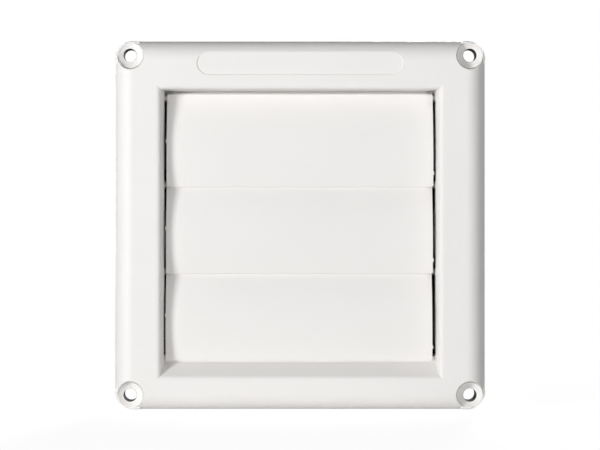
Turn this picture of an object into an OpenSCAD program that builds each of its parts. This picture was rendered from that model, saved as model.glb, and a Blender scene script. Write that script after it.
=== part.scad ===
// Louvred vent hood for 4 inch duct. A square moulded frame has a rolled edge, four dished screw
// pads, a drafted opening and a round spigot behind. Three curved louvres hang in it on pins.
// It is drawn lying on its back: x runs across, y up the wall and z out of the wall.
// stand_up() then turns it, so that the wall is the plane Y = 0 and the front looks along -Y.

/* [Frame] */
// Width of the frame across its straight edges
frame_w = 152.4; // [148:0.1:200]
// Height of the frame across its straight edges
frame_h = 151.4; // [148:0.1:200]
// Distance from the wall to the flat front face
frame_depth = 16.5; // [16.5:0.5:26]
// Radius of the rolled outer edge
roll_r = 8; // [5:0.5:9]
// Radius of the frame's corners
corner_r = 7.7; // [6.5:0.1:8]
// Thickness of the moulded walls
wall = 2; // [1.6:0.1:2.4]

/* [Opening] */
// Frame edge to the side walls of the opening, at their deep edge
side_band = 20.4; // [19:0.1:24]
// Frame edge to the top wall of the opening, at its deep edge
top_band = 20.4; // [19:0.1:24]
// Frame edge to the sill, at its deep edge
sill_band = 19.1; // [18.5:0.1:24]
// Depth over which the opening's walls slope
bevel_depth = 8.2; // [6:0.1:9]
// Slope of the side walls from straight back, in degrees
side_slope = 10; // [2:0.5:15]
// Slope of the top wall from straight back, in degrees
top_slope = 4; // [1:0.5:10]
// Slope of the sill from straight back, in degrees
sill_slope = 35; // [15:1:38]
// Radius where the opening meets the front face
mouth_r = 2; // [1:0.1:2.2]

/* [Screw pads] */
// Centre of a screw hole from the side edge
screw_inset_x = 6.35; // [6.2:0.05:7]
// Centre of a screw hole from the top or bottom edge
screw_inset_y = 5.85; // [5.8:0.05:7]
// Diameter of a screw hole
screw_hole_d = 5.4; // [4:0.1:6]
// Radius of the post under a pad
post_r = 6.5; // [6.2:0.05:7]
// Radius of the pocket that the pad lies in
pocket_r = 6.1; // [5.8:0.05:6.4]
// Distance that the pocket narrows from the face to the pad
pocket_draft = 1; // [0.3:0.05:1.2]
// Depth of the pad below the front face
pad_depth = 4.2; // [3:0.1:5]
// Radius of the round on the pad's outer edge
pad_round = 0.8; // [0.4:0.1:1]
// Radius of the dish at the pad's surface
dish_r = 4.85; // [4:0.05:5]
// Radius of the flat seat at the bottom of the dish
dish_seat_r = 2.95; // [2.9:0.05:3.5]
// Depth of the dish
dish_depth = 1.2; // [0.5:0.1:2]

/* [Panel] */
// Length of the blank panel with round ends
panel_w = 84.7; // [60:0.1:110]
// Height of the blank panel
panel_h = 9.4; // [6:0.1:10]
// Centre of the panel from the top edge
panel_drop = 9.3; // [8.5:0.1:10]
// Depth of the panel's surface below the front face
panel_depth = 0.45; // [0.2:0.05:0.8]
// Distance that the panel narrows from the face to its surface
panel_draft = 0.2; // [0.1:0.05:0.4]

/* [Spigot] */
// Outside diameter of the spigot, which slides into the duct
spigot_d = 100.6; // [76:0.2:108]
// Length of the spigot behind the wall plane
spigot_len = 24; // [15:1:60]
// Length of the lead-in chamfer on the spigot's end
spigot_lead = 1.2; // [0.5:0.1:1.6]

/* [Louvres] */
// Thickness of a louvre
louvre_wall = 1.1; // [0.9:0.05:1.3]
// Distance that a louvre's face bows forward of a straight line from closing line to lip
bulge = 2.15; // [1.2:0.05:2.4]
// Distance from the pivot forward to the face, where the upper lip closes on it
face_ahead = 2.85; // [2.6:0.05:2.9]
// Air between a lip and what it closes on
lip_air = 0.27; // [0.15:0.01:0.5]
// Outside radius of the rolled head
head_r = 2.25; // [2.1:0.05:2.4]
// Depth of the pivot below the front face
pivot_depth = 11.95; // [11.6:0.05:12.2]
// Height of a louvre's top edge above its pivot
edge_rise = 1.25; // [1:0.05:1.3]
// Air between the top louvre's head and the top wall
head_gap = 0.6; // [0.6:0.05:1]
// Distance that a lip hangs below the pivot of the next louvre
lip_cover = 1; // [0.8:0.1:1.3]
// Air under the lip of the bottom louvre
lip_gap = 0.55; // [0.3:0.05:1]
// Gap at each end of a louvre at its head
end_gap_head = 1.05; // [0.8:0.05:1.3]
// Gap at each end of a louvre at its lip
end_gap_lip = 0.8; // [0.7:0.05:1.1]
// Shift of each louvre to the left of the one above, as their side play lets them hang
side_drift = 0.2; // [0:0.05:0.25]
// Size of the chamfer on a louvre's lower corners
corner_cut = 0.8; // [0.4:0.1:1.5]

/* [Pivots] */
// Diameter of a pivot pin
pin_d = 2.5; // [2:0.1:3]
// Running clearance round a pin, on the radius
pin_clear = 0.08; // [0.03:0.01:0.1]
// Length of pin that lies in the side wall
pin_reach = 1.8; // [1.2:0.1:1.8]
// Thickness of the closed end that carries a pin
cheek = 1.2; // [0.8:0.1:2]

/* [Stop] */
// Height of the rib that the bottom louvre closes on
stop_h = 2.5; // [2:0.1:3]
// Thickness of that rib
stop_t = 1.5; // [1:0.1:2]

/* [Gate marks] */
// Height that a gate mark stands off a louvre's end
gate_proud = 0.35; // [0.2:0.05:0.4]
// Length of a gate mark
gate_len = 1.5; // [1:0.1:2]
// Thickness of a gate mark
gate_t = 0.8; // [0.5:0.1:0.8]
// Gate mark on the left end, below the pivot
gate_left_drop = 17.9; // [10:0.1:30]
// Gate mark on the right end, below the pivot
gate_right_drop = 31; // [10:0.1:33]

/* [Hidden] */
$fn = 96;
body_white = "#f3f3f0";
louvre_white = "#f7f7f5";
louvre_count = 3;
overcut = 1;
reach = 2 * max(frame_w, frame_h);
screw_x = frame_w / 2 - screw_inset_x;
screw_y = frame_h / 2 - screw_inset_y;
pad_z = frame_depth - pad_depth;
side_x = frame_w / 2 - side_band;
top_y = frame_h / 2 - top_band;
sill_y = sill_band - frame_h / 2;
bevel_z = frame_depth - bevel_depth;
spigot_r = spigot_d / 2;
bore_r = spigot_r - wall;
pivot_z = frame_depth - pivot_depth;
pivot_top_y = top_y - head_gap - head_r;
pitch = (pivot_top_y - sill_y - lip_gap - lip_cover) / louvre_count;
louvre_drop = pitch + lip_cover;
lip_r = louvre_wall / 2;
closing_u = lip_r - lip_cover;
lip_u = closing_u - pitch;
chord_lean = louvre_wall + lip_air;
chord = sqrt(pow(pitch, 2) + pow(chord_lean, 2));
louvre_r = pow(chord, 2) / (8 * bulge) + bulge / 2;
face_centre = [
    (closing_u + lip_u) / 2 - (louvre_r - bulge) * chord_lean / chord,
    face_ahead + chord_lean / 2 - (louvre_r - bulge) * pitch / chord
];
stop_z = pivot_z + face_ahead;
head_w = 2 * (side_x - end_gap_head);
lip_w = 2 * (side_x - end_gap_lip);

// Turns the hood from lying on its back to hanging on a wall.
module stand_up() {
    rotate([90, 0, 0]) children();
}

// Sweeps a profile drawn in (x, z) along y.
module along_y(length) {
    rotate([90, 0, 0]) linear_extrude(height = length, center = true) children();
}

// Sweeps a profile drawn in (y, z) along x.
module along_x(length) {
    rotate([90, 0, 90]) linear_extrude(height = length, center = true) children();
}

module mirrored(direction) {
    children();
    mirror(direction) children();
}

module at_screws() {
    mirrored([1, 0, 0]) mirrored([0, 1, 0]) translate([screw_x, screw_y, 0]) children();
}

// A slab standing on z = foot, with both top corners rolled over.
module rolled_section(span, foot, height, r) {
    difference() {
        translate([-span / 2, foot]) square([span, height - foot]);
        mirrored([1, 0]) translate([span / 2 - r, height - r]) difference() {
            square(r + overcut);
            circle(r);
        }
    }
}

// Front outline of the frame.
module frame_outline(inset) {
    r = corner_r - inset;
    square([frame_w - 2 * inset, frame_h - 2 * corner_r], center = true);
    square([frame_w - 2 * corner_r, frame_h - 2 * inset], center = true);
    mirrored([1, 0]) mirrored([0, 1]) translate([frame_w / 2 - corner_r, frame_h / 2 - corner_r]) circle(r);
}

// The frame's outer form, or the hollow inside it when inset is the wall.
module rolled_block(inset, foot) {
    r = roll_r - inset;
    top = frame_depth - inset;
    intersection() {
        translate([0, 0, foot - overcut]) linear_extrude(height = reach) frame_outline(inset);
        along_y(frame_h - 2 * inset) rolled_section(frame_w - 2 * inset, foot, top, r);
        along_x(frame_w - 2 * inset) rolled_section(frame_h - 2 * inset, foot, top, r);
    }
}

// Rounds the mouth of the opening where a wall at this slope meets the face at x = edge.
module mouth_round(edge, slope) {
    t = mouth_r * tan((90 - slope) / 2);
    difference() {
        polygon([
            [edge + t, frame_depth],
            [edge + t, frame_depth + overcut],
            [edge - overcut, frame_depth + overcut],
            [edge - t * sin(slope), frame_depth - t * cos(slope)]
        ]);
        translate([edge + t, frame_depth - mouth_r]) circle(mouth_r);
    }
}

// The opening from side to side. grow is the wall's thickness, for the outside of the throat.
module opening_across(grow, foot, top) {
    deep = side_x + grow;
    face = deep + (top - bevel_z) * tan(side_slope);
    polygon([[-deep, foot], [deep, foot], [deep, bevel_z], [face, top], [-face, top], [-deep, bevel_z]]);
}

// The opening from sill to top.
module opening_up(grow, foot, top) {
    rise = top - bevel_z;
    low = sill_y - grow;
    high = top_y + grow;
    polygon([
        [low, foot],
        [high, foot],
        [high, bevel_z],
        [high + rise * tan(top_slope), top],
        [low - rise * tan(sill_slope), top],
        [low, bevel_z]
    ]);
}

// Outside of the throat's walls, which run from the face to the wall plane.
module throat_block() {
    intersection() {
        along_y(reach) opening_across(wall, 0, frame_depth - wall / 2);
        along_x(reach) opening_up(wall, 0, frame_depth - wall / 2);
    }
}

// The air in the opening, with a rounded mouth.
module opening_air() {
    intersection() {
        along_y(reach) {
            opening_across(0, wall, frame_depth);
            mirrored([1, 0]) mouth_round(side_x + bevel_depth * tan(side_slope), side_slope);
        }
        along_x(reach) {
            opening_up(0, wall, frame_depth);
            mouth_round(top_y + bevel_depth * tan(top_slope), top_slope);
            mirror([1, 0]) mouth_round(bevel_depth * tan(sill_slope) - sill_y, sill_slope);
        }
    }
}

// Profile of a slab out to its edge at span, with that edge rounded, for the tops of the posts.
module pad_profile(span) {
    square([span - pad_round, pad_z]);
    square([span, pad_z - pad_round]);
    translate([span - pad_round, pad_z - pad_round]) intersection() {
        circle(pad_round);
        square(pad_round);
    }
}

// The four screw posts, held inside the frame's outline, with a small round on the outer edge.
module screw_posts() {
    straight = 2 * post_r;
    mirrored([1, 0, 0]) mirrored([0, 1, 0]) intersection() {
        translate([screw_x, screw_y, 0]) cylinder(h = pad_z, r = post_r);
        translate([frame_w / 2 - corner_r, frame_h / 2 - corner_r, 0]) {
            intersection() {
                rotate_extrude() pad_profile(corner_r);
                cube([reach, reach, reach]);
            }
            rotate([90, 0, 0]) linear_extrude(height = straight) pad_profile(corner_r);
            rotate([90, 0, 90]) translate([0, 0, -straight]) linear_extrude(height = straight)
                pad_profile(corner_r);
            translate([-straight, -straight, 0]) cube([straight, straight, pad_z]);
        }
    }
}

// What is cut away over a screw pad: the pocket, the corner outside it, the dish and the hole.
module screw_cut() {
    translate([0, 0, pad_z]) cylinder(h = pad_depth, r1 = pocket_r - pocket_draft, r2 = pocket_r);
    translate([0, 0, pad_z]) cube([post_r + overcut, post_r + overcut, pad_depth + overcut]);
    translate([0, 0, pad_z - dish_depth]) cylinder(h = dish_depth, r1 = dish_seat_r, r2 = dish_r);
    translate([0, 0, -overcut]) cylinder(h = pad_z + 2 * overcut, d = screw_hole_d);
}

module panel_outline() {
    end_r = panel_h / 2;
    translate([0, frame_h / 2 - panel_drop]) {
        square([panel_w - panel_h, panel_h], center = true);
        mirrored([1, 0]) translate([panel_w / 2 - end_r, 0]) circle(end_r);
    }
}

// The recess over the panel, which narrows from the face to the panel's surface.
module panel_recess() {
    end_r = panel_h / 2;
    floor_r = end_r - panel_draft;
    translate([0, 0, frame_depth]) linear_extrude(height = wall) panel_outline();
    translate([0, frame_h / 2 - panel_drop, frame_depth - panel_depth]) {
        along_x(panel_w - panel_h)
            polygon([[-floor_r, 0], [floor_r, 0], [end_r, panel_depth], [-end_r, panel_depth]]);
        mirrored([1, 0, 0]) translate([panel_w / 2 - end_r, 0, 0])
            cylinder(h = panel_depth, r1 = floor_r, r2 = end_r);
    }
}

// Tube behind the back plate, with a chamfer that leads it into the duct.
module spigot() {
    translate([0, 0, -spigot_len + spigot_lead]) cylinder(h = spigot_len - spigot_lead + wall, r = spigot_r);
    translate([0, 0, -spigot_len]) cylinder(h = spigot_lead, r1 = spigot_r - wall / 2, r2 = spigot_r);
}

module stop_rib() {
    translate([-side_x - wall / 2, sill_y - wall / 2, stop_z - stop_t])
        cube([2 * side_x + wall, stop_h + wall / 2, stop_t]);
}

module hood_body() {
    color(body_white) stand_up() difference() {
        union() {
            difference() {
                rolled_block(0, 0);
                rolled_block(wall, -overcut);
            }
            difference() {
                union() {
                    throat_block();
                    spigot();
                }
                opening_air();
                translate([0, 0, -spigot_len - overcut]) cylinder(h = spigot_len + 2 * wall, r = bore_r);
            }
            stop_rib();
            screw_posts();
            intersection() {
                rolled_block(0, 0);
                at_screws() translate([0, 0, pad_z - wall])
                    cylinder(h = frame_depth, r = pocket_r + wall - pocket_draft);
            }
            translate([0, 0, frame_depth - wall]) linear_extrude(height = wall - panel_depth) panel_outline();
        }
        opening_air_front();
        panel_recess();
        at_screws() screw_cut();
        for (i = [0 : louvre_count - 1])
            translate([0, pivot_top_y - i * pitch, pivot_z])
                rotate([0, 90, 0])
                    cylinder(h = 2 * (side_x + wall + overcut), d = pin_d + 2 * pin_clear, center = true);
    }
}

// The part of the opening's air that passes through the face.
module opening_air_front() {
    intersection() {
        opening_air();
        translate([0, 0, stop_z]) linear_extrude(height = frame_depth) square(reach, center = true);
    }
}

// Distance in front of the pivot of the middle of a louvre's thickness, at height u.
function mid_v(u) = face_centre[1] + sqrt(pow(louvre_r - lip_r, 2) - pow(u - face_centre[0], 2));

// Section of a louvre in (y, z) with its pivot at the origin: curved face, round lip and rolled head.
module louvre_section() {
    intersection() {
        translate(face_centre) difference() {
            circle(louvre_r);
            circle(louvre_r - louvre_wall);
        }
        translate([lip_u, 0]) square([edge_rise - lip_u, reach]);
    }
    translate([lip_u, mid_v(lip_u)]) circle(lip_r);
    difference() {
        circle(head_r);
        circle(head_r - louvre_wall);
        translate([-reach, -reach / 2]) square(reach);
    }
}

// Front view of a louvre: a little wider at the lip, with its lower corners cut.
module louvre_outline() {
    polygon([
        [-head_w / 2, head_r + overcut],
        [head_w / 2, head_r + overcut],
        [lip_w / 2, -louvre_drop + corner_cut],
        [lip_w / 2 - corner_cut, -louvre_drop - overcut / 4],
        [-lip_w / 2 + corner_cut, -louvre_drop - overcut / 4],
        [-lip_w / 2, -louvre_drop + corner_cut]
    ]);
}

// Small moulding mark on a louvre's end, in the thickness of its face.
module gate_mark(drop) {
    end_x = side_x - end_gap_head + (end_gap_head - end_gap_lip) * drop / louvre_drop;
    translate([end_x - gate_proud, -drop - gate_len / 2, mid_v(-drop) - gate_t / 2])
        cube([2 * gate_proud, gate_len, gate_t]);
}

module louvre(place) {
    color(louvre_white) stand_up() translate([-place * side_drift, pivot_top_y - place * pitch, pivot_z]) {
        intersection() {
            union() {
                along_x(lip_w) louvre_section();
                mirrored([1, 0, 0]) translate([head_w / 2 - cheek, 0, 0]) rotate([0, 90, 0])
                    cylinder(h = cheek, r = head_r);
            }
            translate([0, 0, -reach / 2]) linear_extrude(height = reach) louvre_outline();
        }
        mirrored([1, 0, 0]) translate([head_w / 2 - cheek, 0, 0]) rotate([0, 90, 0])
            cylinder(h = cheek + end_gap_head + pin_reach, d = pin_d);
        gate_mark(gate_right_drop);
        mirror([1, 0, 0]) gate_mark(gate_left_drop);
    }
}

module top_louvre() {
    louvre(0);
}

module middle_louvre() {
    louvre(1);
}

module bottom_louvre() {
    louvre(2);
}

hood_body();
top_louvre();
middle_louvre();
bottom_louvre();
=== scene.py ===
import math

import bpy
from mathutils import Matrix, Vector


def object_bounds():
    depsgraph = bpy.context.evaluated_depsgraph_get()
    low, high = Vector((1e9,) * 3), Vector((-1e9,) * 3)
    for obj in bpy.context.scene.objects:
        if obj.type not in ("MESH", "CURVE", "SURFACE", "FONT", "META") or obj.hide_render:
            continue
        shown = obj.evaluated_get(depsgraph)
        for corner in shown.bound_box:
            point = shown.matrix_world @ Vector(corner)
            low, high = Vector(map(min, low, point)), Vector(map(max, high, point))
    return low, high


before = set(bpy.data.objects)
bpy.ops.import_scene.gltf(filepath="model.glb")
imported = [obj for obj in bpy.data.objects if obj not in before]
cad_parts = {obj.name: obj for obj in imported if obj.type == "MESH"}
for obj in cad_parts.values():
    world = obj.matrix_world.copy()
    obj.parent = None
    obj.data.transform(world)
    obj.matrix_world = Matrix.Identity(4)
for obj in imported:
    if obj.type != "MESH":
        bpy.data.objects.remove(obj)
cad_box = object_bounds()

# Hood body.
# The square frame, its throat, screw posts and spigot are one injection moulding in white ABS.
# The spark-eroded mould leaves a satin skin with a fine grain, and thick places sink a little.
# Screws through the four pads hold it to the wall.


def linear(hex_colour):
    """sRGB hex to the linear RGBA that the shader nodes take."""
    srgb = [int(hex_colour[i:i + 2], 16) / 255 for i in (1, 3, 5)]
    return [c / 12.92 if c <= 0.04045 else ((c + 0.055) / 1.055) ** 2.4 for c in srgb] + [1.0]


def add_node(material, kind, inputs=None, **settings):
    """Adds a node. An input is a value, or another node's output socket to link from."""
    tree = material.node_tree
    node = tree.nodes.new(kind)
    for name, value in settings.items():
        setattr(node, name, value)
    for name, value in (inputs or {}).items():
        if isinstance(value, bpy.types.NodeSocket):
            tree.links.new(value, node.inputs[name])
        else:
            node.inputs[name].default_value = value
    return node


def painted_shade_mask(material, place, bare_ends):
    """1 where hardly any light gets in, such as a screw hole or the gap at a louvre's end, else 0.

    It tells where painted shade goes into the colour. In the gap it is a product of factors, each
    of which runs from one share to another between two values of a measure. In a hole it is
    hole_share as far as hole_r from the hole's axis. The larger of the two counts. The hood is the
    same on both sides, so a place is taken by |x| and |z|, in metres from the hood's middle.
    """
    # How far the walls within reach_mm shut a point in, which ambient occlusion tells in any pose.
    reach_mm, shut_share, open_share = 8, 0.46, 0.76
    # The gap's band across the hood, and the levels where the louvres' outermost head and lip
    # end. A cut takes the width of edge.
    band_in, band_full, band_out, edge = 0.0515, 0.0535, 0.0560, 0.0002
    band_up, head_in, head_out = 0.0556, 0.0532, 0.0540
    # A pin fills the gap at its own level, so the painted shade is weaker there.
    # The topmost lies at pin_up, the next pin_pitch below.
    pin_up, pin_pitch, pin_near, pin_clear, filled_share = 0.05245, 0.0358333, 0.0008, 0.0018, 0.35
    # The screw holes' axes and radius.
    screw_out, hole_r, hole_share = 0.06985, 0.0027, 0.93
    split = add_node(material, "ShaderNodeSeparateXYZ", {"Vector": place}).outputs
    across = add_node(material, "ShaderNodeMath", {0: split["X"]}, operation="ABSOLUTE").outputs[0]
    up = add_node(material, "ShaderNodeMath", {0: split["Z"]}, operation="ABSOLUTE").outputs[0]
    reached = add_node(material, "ShaderNodeAmbientOcclusion", {"Distance": reach_mm / 1000},
                       samples=8).outputs["AO"]
    below_pin = add_node(material, "ShaderNodeMath", {0: split["Z"], 1: pin_up},
                         operation="SUBTRACT").outputs[0]
    from_pin = add_node(material, "ShaderNodeMath", {0: below_pin, 1: pin_pitch / 2},
                        operation="PINGPONG").outputs[0]
    factors = [
        (reached, shut_share, open_share, 1.0, 0.0),
        (across, band_in, band_full, 0.0, 1.0),
        (across, band_out, band_out + edge, 1.0, 0.0),
        (up, band_up, band_up + edge, 1.0, 0.0),
        (up, head_in, head_out, 1.0, filled_share),
        (from_pin, pin_near, pin_clear, filled_share, 1.0),
    ]
    if bare_ends:
        # A louvre's end face has its normal along X, and its front face along -Y.
        turned, square_on, front_share = 0.6, 0.9, 0.15
        facing = add_node(material, "ShaderNodeTexCoord").outputs["Normal"]
        facing = add_node(material, "ShaderNodeSeparateXYZ", {"Vector": facing}).outputs
        sideways = add_node(material, "ShaderNodeMath", {0: facing["X"]},
                            operation="ABSOLUTE").outputs[0]
        factors.append((sideways, turned, square_on, 1.0, 0.0))
        factors.append((facing["Y"], -square_on, -turned, front_share, 1.0))
    in_gap = 1.0
    for measure, low, high, at_low, at_high in factors:
        factor = add_node(material, "ShaderNodeMapRange", {
            "Value": measure, "From Min": low, "From Max": high,
            "To Min": at_low, "To Max": at_high}).outputs["Result"]
        in_gap = add_node(material, "ShaderNodeMath", {0: in_gap, 1: factor},
                          operation="MULTIPLY").outputs[0]
    folded = add_node(material, "ShaderNodeCombineXYZ", {"X": across, "Y": up}).outputs[0]
    from_screw = add_node(material, "ShaderNodeVectorMath",
                          {0: folded, 1: (screw_out, screw_out, 0)},
                          operation="DISTANCE").outputs["Value"]
    in_hole = add_node(material, "ShaderNodeMapRange", {
        "Value": from_screw, "From Min": hole_r, "From Max": hole_r + edge,
        "To Min": hole_share, "To Max": 0.0}).outputs["Result"]
    return add_node(material, "ShaderNodeMath", {0: in_gap, 1: in_hole},
                    operation="MAXIMUM").outputs[0]


def satin_abs(name, body_hex, shade_hex, roughness, bare_ends=False):
    """Moulded ABS. Noises give a faint drift of tone, a gloss that varies, sinks and a grain.

    The real grain is near 0.1 mm, and it is drawn coarser so that it shows. The gaps and holes
    that little light reaches get a painted shade, nearly black and dull, as they look on the real
    one. bare_ends keeps that painted shade off a louvre's end faces, because they show when it
    swings out, and nearly off its front face.
    """
    drift_mm, gloss_mm, gloss_spread = 45, 9, 0.04
    sink_mm, sink_deep, sink_strength = 28, 0.0004, 0.25
    grain_mm, grain_deep, grain_strength = 0.5, 0.00003, 0.2
    # The painted shade's colour, nearly black, and its roughness.
    painted_shade_hex, painted_shade_roughness = "#080808", 1.0
    abs_ior, satin_specular = 1.53, 0.12
    material = bpy.data.materials.new(name)
    material.use_nodes = True
    material.node_tree.nodes.clear()
    place = add_node(material, "ShaderNodeTexCoord").outputs["Object"]
    drift = add_node(material, "ShaderNodeTexNoise",
                     {"Vector": place, "Scale": 1000 / drift_mm, "Detail": 2.0}).outputs["Fac"]
    tone = add_node(material, "ShaderNodeMix", {
        "Factor": drift, "A": linear(body_hex), "B": linear(shade_hex)},
        data_type="RGBA").outputs["Result"]
    gloss = add_node(material, "ShaderNodeTexNoise",
                     {"Vector": place, "Scale": 1000 / gloss_mm, "Detail": 3.0}).outputs["Fac"]
    rough = add_node(material, "ShaderNodeMapRange", {
        "Value": gloss, "To Min": roughness - gloss_spread,
        "To Max": roughness + gloss_spread}).outputs["Result"]
    # Painted shade: where the mask says little light gets in, the colour is mixed towards nearly
    # black and the gloss is dulled.
    painted_shade = painted_shade_mask(material, place, bare_ends)
    tone = add_node(material, "ShaderNodeMix", {
        "Factor": painted_shade, "A": tone, "B": linear(painted_shade_hex)}, data_type="RGBA").outputs["Result"]
    rough = add_node(material, "ShaderNodeMix", {
        "Factor": painted_shade, "A": rough, "B": painted_shade_roughness}).outputs["Result"]
    sink = add_node(material, "ShaderNodeTexNoise",
                    {"Vector": place, "Scale": 1000 / sink_mm, "Detail": 1.0}).outputs["Fac"]
    sunk = add_node(material, "ShaderNodeBump", {
        "Height": sink, "Strength": sink_strength, "Distance": sink_deep}).outputs["Normal"]
    grain = add_node(material, "ShaderNodeTexNoise",
                     {"Vector": place, "Scale": 1000 / grain_mm, "Detail": 2.0}).outputs["Fac"]
    grained = add_node(material, "ShaderNodeBump", {
        "Height": grain, "Strength": grain_strength, "Distance": grain_deep,
        "Normal": sunk}).outputs["Normal"]
    shader = add_node(material, "ShaderNodeBsdfPrincipled", {
        "Base Color": tone, "Roughness": rough, "IOR": abs_ior,
        "Specular IOR Level": satin_specular, "Normal": grained}).outputs["BSDF"]
    add_node(material, "ShaderNodeOutputMaterial", {"Surface": shader})
    return material


def finish_node(name, material):
    """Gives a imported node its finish. Its mesh stays as it is."""
    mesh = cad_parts[name].data
    mesh.materials.clear()
    mesh.materials.append(material)


finish_node("hood_body", satin_abs("moulded_white_abs_frame", "#efedeb", "#eceae8", 0.42))

# Louvres.
# Three thin curved flaps of the same white ABS, each moulded in one with its rolled head and two
# pivot pins. The pins spring into the holes in the throat's side walls.
louvre_abs = satin_abs("moulded_white_abs_louvre", "#eeecea", "#ebe9e7", 0.4, bare_ends=True)
for louvre in ("top_louvre", "middle_louvre", "bottom_louvre"):
    finish_node(louvre, louvre_abs)

# Stage.
# A white table that the hood stands on, in a white studio that runs out to nothing.
# The camera sees both as plain white, and the table still takes the hood's soft shadow.
table_drop, reach = 0.0003, 3.0
low = cad_box[0].z - table_drop
corners = [(-reach, -reach, low), (reach, -reach, low), (reach, reach, low), (-reach, reach, low)]
table = bpy.data.meshes.new("table")
table.from_pydata(corners, [], [(0, 1, 2, 3)])
table_object = bpy.data.objects.new("table", table)
bpy.context.scene.collection.objects.link(table_object)


def seen(material):
    """1 on rays that the camera sees directly, in a gloss or through glass, and 0 on the rest."""
    path = add_node(material, "ShaderNodeLightPath").outputs
    either = add_node(material, "ShaderNodeMath",
                      {0: path["Is Camera Ray"], 1: path["Is Glossy Ray"]},
                      operation="ADD").outputs[0]
    return add_node(material, "ShaderNodeMath", {0: either, 1: path["Is Transmission Ray"]},
                    operation="ADD", use_clamp=True).outputs[0]


# Seen rays get a glow of about 1, and near the hood a share of the lit surface too, which is
# where its shadow falls. That share runs out between shadow_near and shadow_far.
table_albedo, table_lit, shadow_kept = 0.88, 0.3, 0.5
shadow_near, shadow_far = 0.1, 0.35
table_white = bpy.data.materials.new("white_studio_table")
table_white.use_nodes = True
table_white.node_tree.nodes.clear()
spot = add_node(table_white, "ShaderNodeTexCoord").outputs["Object"]
flat = add_node(table_white, "ShaderNodeVectorMath", {0: spot, 1: (1, 1, 0)},
                operation="MULTIPLY").outputs[0]
away = add_node(table_white, "ShaderNodeVectorMath", {0: flat}, operation="LENGTH").outputs["Value"]
kept = add_node(table_white, "ShaderNodeMapRange", {
    "Value": away, "From Min": shadow_near, "From Max": shadow_far,
    "To Min": shadow_kept, "To Max": 0.0}).outputs["Result"]
plain = seen(table_white)
unkept = add_node(table_white, "ShaderNodeMath", {0: 1.0, 1: kept}, operation="SUBTRACT").outputs[0]
hidden = add_node(table_white, "ShaderNodeMath", {0: plain, 1: unkept},
                  operation="MULTIPLY").outputs[0]
tint = add_node(table_white, "ShaderNodeMath", {0: hidden, 1: -table_albedo, 2: table_albedo},
                operation="MULTIPLY_ADD").outputs[0]
level = add_node(table_white, "ShaderNodeMath", {0: kept, 1: -table_lit, 2: 1.0},
                 operation="MULTIPLY_ADD").outputs[0]
glow = add_node(table_white, "ShaderNodeMath", {0: plain, 1: level},
                operation="MULTIPLY").outputs[0]
matte = add_node(table_white, "ShaderNodeBsdfDiffuse", {"Color": tint}).outputs[0]
lit = add_node(table_white, "ShaderNodeEmission",
               {"Color": (1, 1, 1, 1), "Strength": glow}).outputs[0]
both = add_node(table_white, "ShaderNodeAddShader", {0: matte, 1: lit}).outputs[0]
add_node(table_white, "ShaderNodeOutputMaterial", {"Surface": both})
table.materials.append(table_white)

room_level = 0.03
studio = bpy.data.worlds.new("studio")
studio.use_nodes = True
studio.node_tree.nodes.clear()
room = add_node(studio, "ShaderNodeMapRange", {
    "Value": seen(studio), "To Min": room_level, "To Max": 1.0}).outputs["Result"]
air = add_node(studio, "ShaderNodeBackground",
               {"Color": (1, 1, 1, 1), "Strength": room}).outputs[0]
add_node(studio, "ShaderNodeOutputWorld", {"Surface": air})
bpy.context.scene.world = studio

# Lights.
# Softboxes: a key from the left, one by the camera, a weak fill from the right, a low strip in
# front, and two behind. The key is narrow, so that the opening's left wall throws a shadow with
# an edge on the louvres. A row is name, place and width and height in metres, and watts.
softboxes = [
    ("key_left", (-0.92, -0.97, 0.06), (0.31, 0.4), 13.9),
    ("by_camera", (0.28, -1.31, 0.07), (0.3, 0.3), 2.75),
    ("fill_right", (0.86, -1.03, 0.07), (0.4, 0.4), 1.5),
    ("low_front", (0.0, -0.75, -0.03), (1.2, 0.06), 1.0),
    ("behind", (0.254, 1.44, 0.337), (0.3, 0.3), 15.0),
    ("behind_left", (-0.51, 1.41, 0.05), (0.3, 0.3), 2.5),
]
for name, place, size, watts in softboxes:
    lamp = bpy.data.lights.new(name, "AREA")
    lamp.shape = "RECTANGLE"
    lamp.size, lamp.size_y = size
    lamp.energy = watts
    lamp_object = bpy.data.objects.new(name, lamp)
    lamp_object.location = place
    lamp_object.rotation_euler = (-Vector(place)).to_track_quat("-Z", "Y").to_euler()
    lamp_object.visible_camera = False
    bpy.context.scene.collection.objects.link(lamp_object)

# Camera.
# It stands a metre off, a little left of and above the hood's middle, and looks straight at the
# wall. The image's scale was fitted to the screw holes and the edges of the opening.
image_w = 600
pixels_per_radian = 2443.8
right_px, down_px = 29.2, 21.7
film_w_mm = 36.0
camera = bpy.data.cameras.new("camera")
camera.sensor_width = film_w_mm
camera.lens = pixels_per_radian * film_w_mm / image_w
camera.shift_x = right_px / image_w
camera.shift_y = -down_px / image_w
camera_object = bpy.data.objects.new("camera", camera)
camera_object.location = (-0.012, -1.0165, 0.009)
camera_object.rotation_euler = (math.pi / 2, 0, 0)
bpy.context.scene.collection.objects.link(camera_object)
bpy.context.scene.camera = camera_object
bpy.context.scene.view_settings.view_transform = "Standard"
